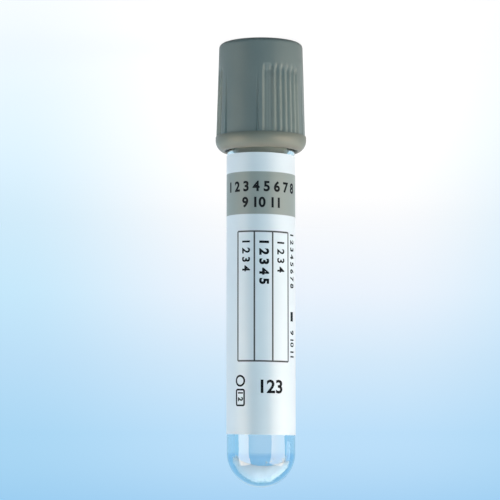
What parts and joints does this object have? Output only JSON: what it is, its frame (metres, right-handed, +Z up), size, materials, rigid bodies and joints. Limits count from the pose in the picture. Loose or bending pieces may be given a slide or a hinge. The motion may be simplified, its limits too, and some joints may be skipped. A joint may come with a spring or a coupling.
{
  "type": "blood collection tube",
  "caption": "Round-bottomed clear sample tube with a wrap label and dished powder additive, closed by a ribbed push-on cap over a rubber stopper, standing on its cap.",
  "frame": {"origin": "on the surface the closed tube stands on, at the middle of the cap's flat top", "axes": "+Z up, along the tube from the cap to the round end; -Y towards the front of the label"},
  "size_m": [0.0174, 0.0175, 0.0853],
  "materials": {
    "clear_plastic": "clear polished PET moulding",
    "label_paper": "smooth coated white label with a grey band and a black ruled table",
    "additive_powder": "fine white dried powder",
    "stopper_rubber": "matt grey-brown butyl rubber",
    "cap_plastic": "satin grey moulded plastic"
  },
  "bodies": {
    "closure": {"stopper": "stopper_rubber", "cap": "cap_plastic"},
    "vial": {"tube": "clear_plastic", "label": "label_paper", "additive": "additive_powder"}
  },
  "joints": [
    {"name": "tube_lift", "type": "slide", "parent": "closure", "child": "vial", "axis": [0, 0, 1], "range_m": [0, 0.025]}
  ]
}
